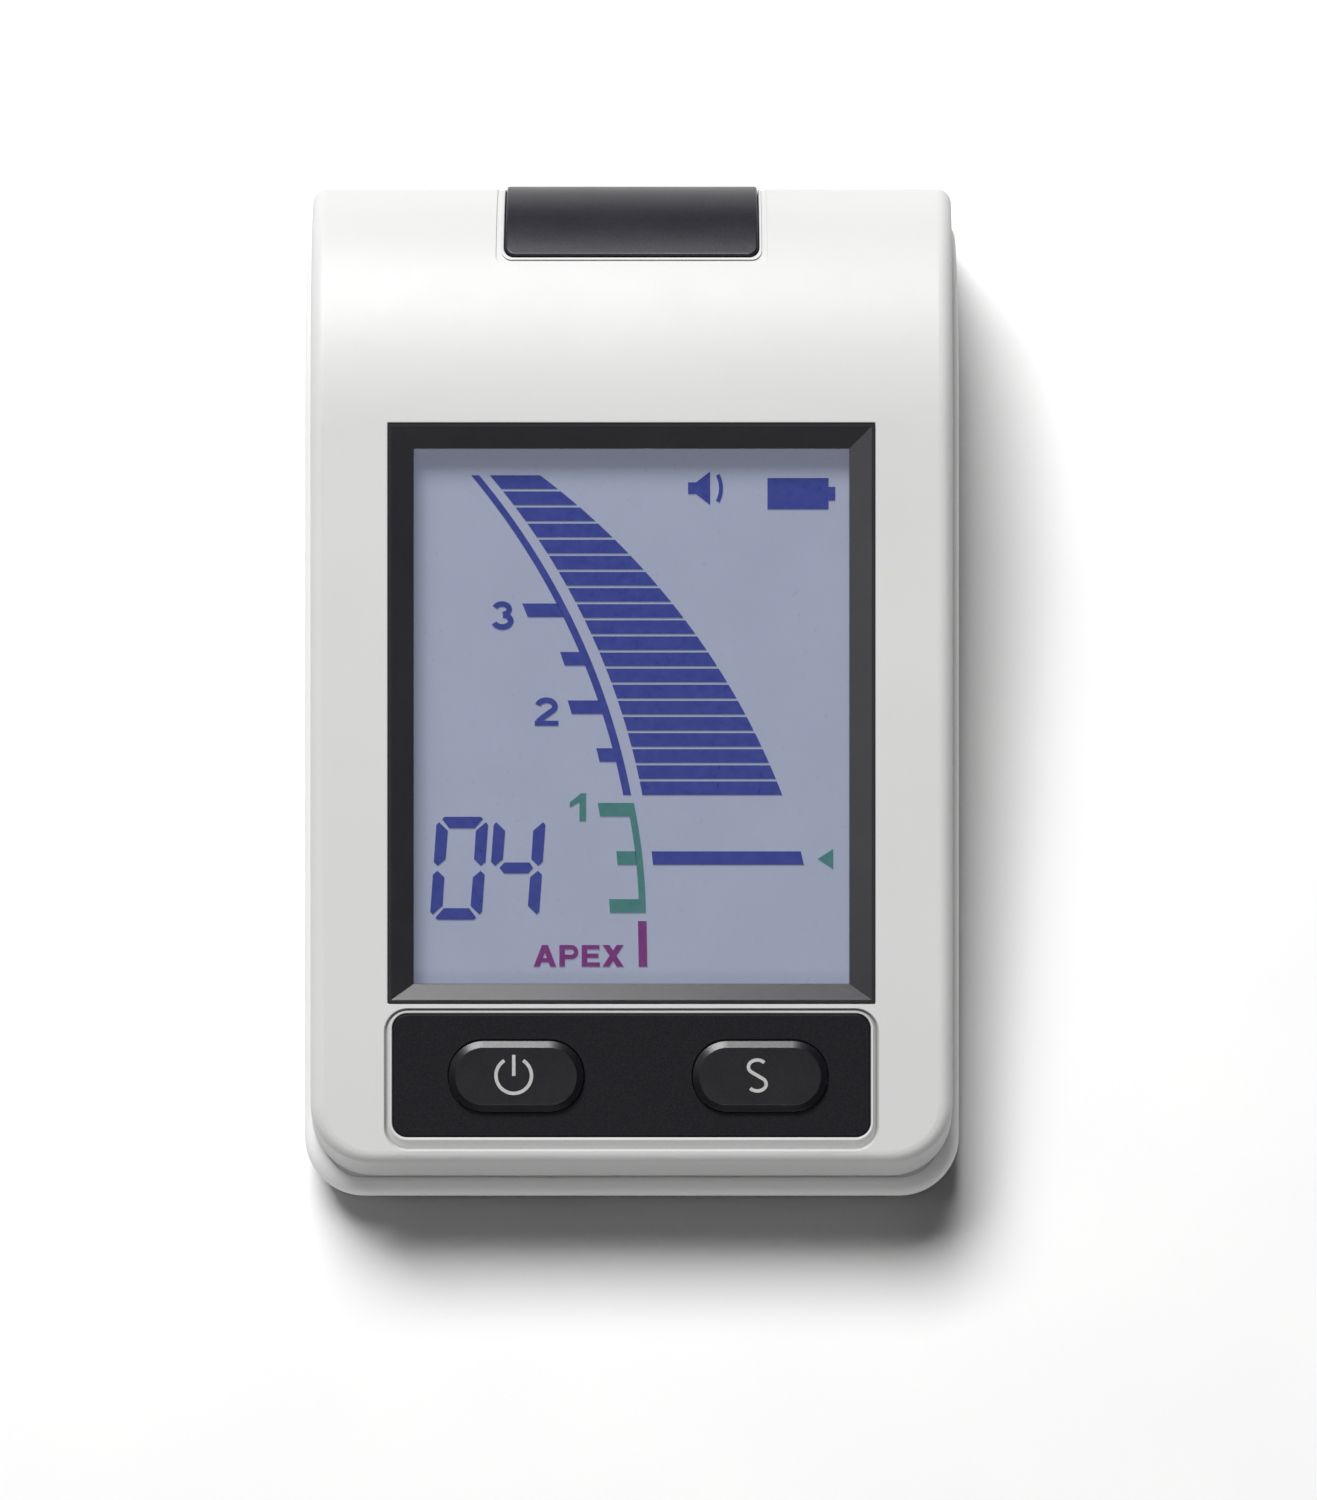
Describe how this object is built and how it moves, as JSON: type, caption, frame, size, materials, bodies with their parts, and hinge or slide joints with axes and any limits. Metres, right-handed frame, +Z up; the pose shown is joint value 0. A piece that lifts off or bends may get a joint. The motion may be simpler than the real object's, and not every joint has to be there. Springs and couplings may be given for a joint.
{
  "type": "apex locator",
  "caption": "Small wedge-shaped desk meter for finding the end of a root canal, with a tilted display, two keys below it and a probe jack at the back.",
  "frame": {"origin": "middle of the object's footprint, level with the soles of the feet", "axes": "+Z up, +Y away from the user towards the raised back with the jack, +X to the user's right"},
  "size_m": [0.06, 0.0924, 0.0256],
  "materials": {
    "white_plastic": "satin gloss",
    "black_gloss": "gloss",
    "clear_sheet": "clear acrylic, polished",
    "foam": "matte foam",
    "lcd": "liquid crystal glass, blue-grey when lit",
    "diffuser": "milky",
    "contact_rubber": "matte, striped with carbon",
    "holder_plastic": "matte",
    "charcoal_plastic": "fine satin texture",
    "key_plastic": "satin",
    "switch_metal": "satin",
    "switch_plastic": "matte",
    "board": "green solder mask",
    "chip_plastic": "matte",
    "ceramic": "matte",
    "screw_steel": "zinc plated",
    "contact_nickel": "nickel plated",
    "cell_jacket": "gloss jacket",
    "foot_rubber": "matte",
    "jack_brass": "satin",
    "ribbon": "polyimide film"
  },
  "bodies": {
    "casing": {"front_cover": "white_plastic", "rear_cover": "white_plastic", "display_bezel": "black_gloss", "display_window": "clear_sheet", "window_gasket": "foam", "lcd_panel": "lcd", "light_guide": "diffuser", "backlight_leds": "diffuser", "contact_strips": "contact_rubber", "lcd_holder": "holder_plastic", "key_panel": "charcoal_plastic", "power_switch": "switch_metal", "set_switch": "switch_metal", "main_board": "board", "controller_chip": "chip_plastic", "measuring_chip": "chip_plastic", "clock_crystal": "switch_metal", "board_passives": "ceramic", "buzzer": "chip_plastic", "case_screws": "screw_steel", "board_screws": "screw_steel", "cell_plates": "contact_nickel", "cell_springs": "contact_nickel", "battery_cell_1": "cell_jacket", "battery_cell_2": "cell_jacket", "battery_cell_3": "cell_jacket", "front_feet": "foot_rubber", "socket_block": "charcoal_plastic", "probe_jack": "jack_brass", "jack_pins": "contact_nickel", "jack_ribbon": "ribbon"},
    "power_key": {"power_key": "key_plastic", "power_switch_plunger": "switch_plastic"},
    "set_key": {"set_key": "key_plastic", "set_switch_plunger": "switch_plastic"},
    "battery_door": {"battery_door": "white_plastic", "back_feet": "foot_rubber"}
  },
  "joints": [
    {"name": "power_key_press", "type": "slide", "parent": "casing", "child": "power_key", "axis": [0, 0.1736, -0.9848], "range_m": [0, 0.00035], "stiffness_N_per_m": 4000},
    {"name": "set_key_press", "type": "slide", "parent": "casing", "child": "set_key", "axis": [0, 0.1736, -0.9848], "range_m": [0, 0.00035], "stiffness_N_per_m": 4000},
    {"name": "battery_door_slide", "type": "slide", "parent": "casing", "child": "battery_door", "axis": [0, 1, 0], "range_m": [0, 0.05]}
  ]
}
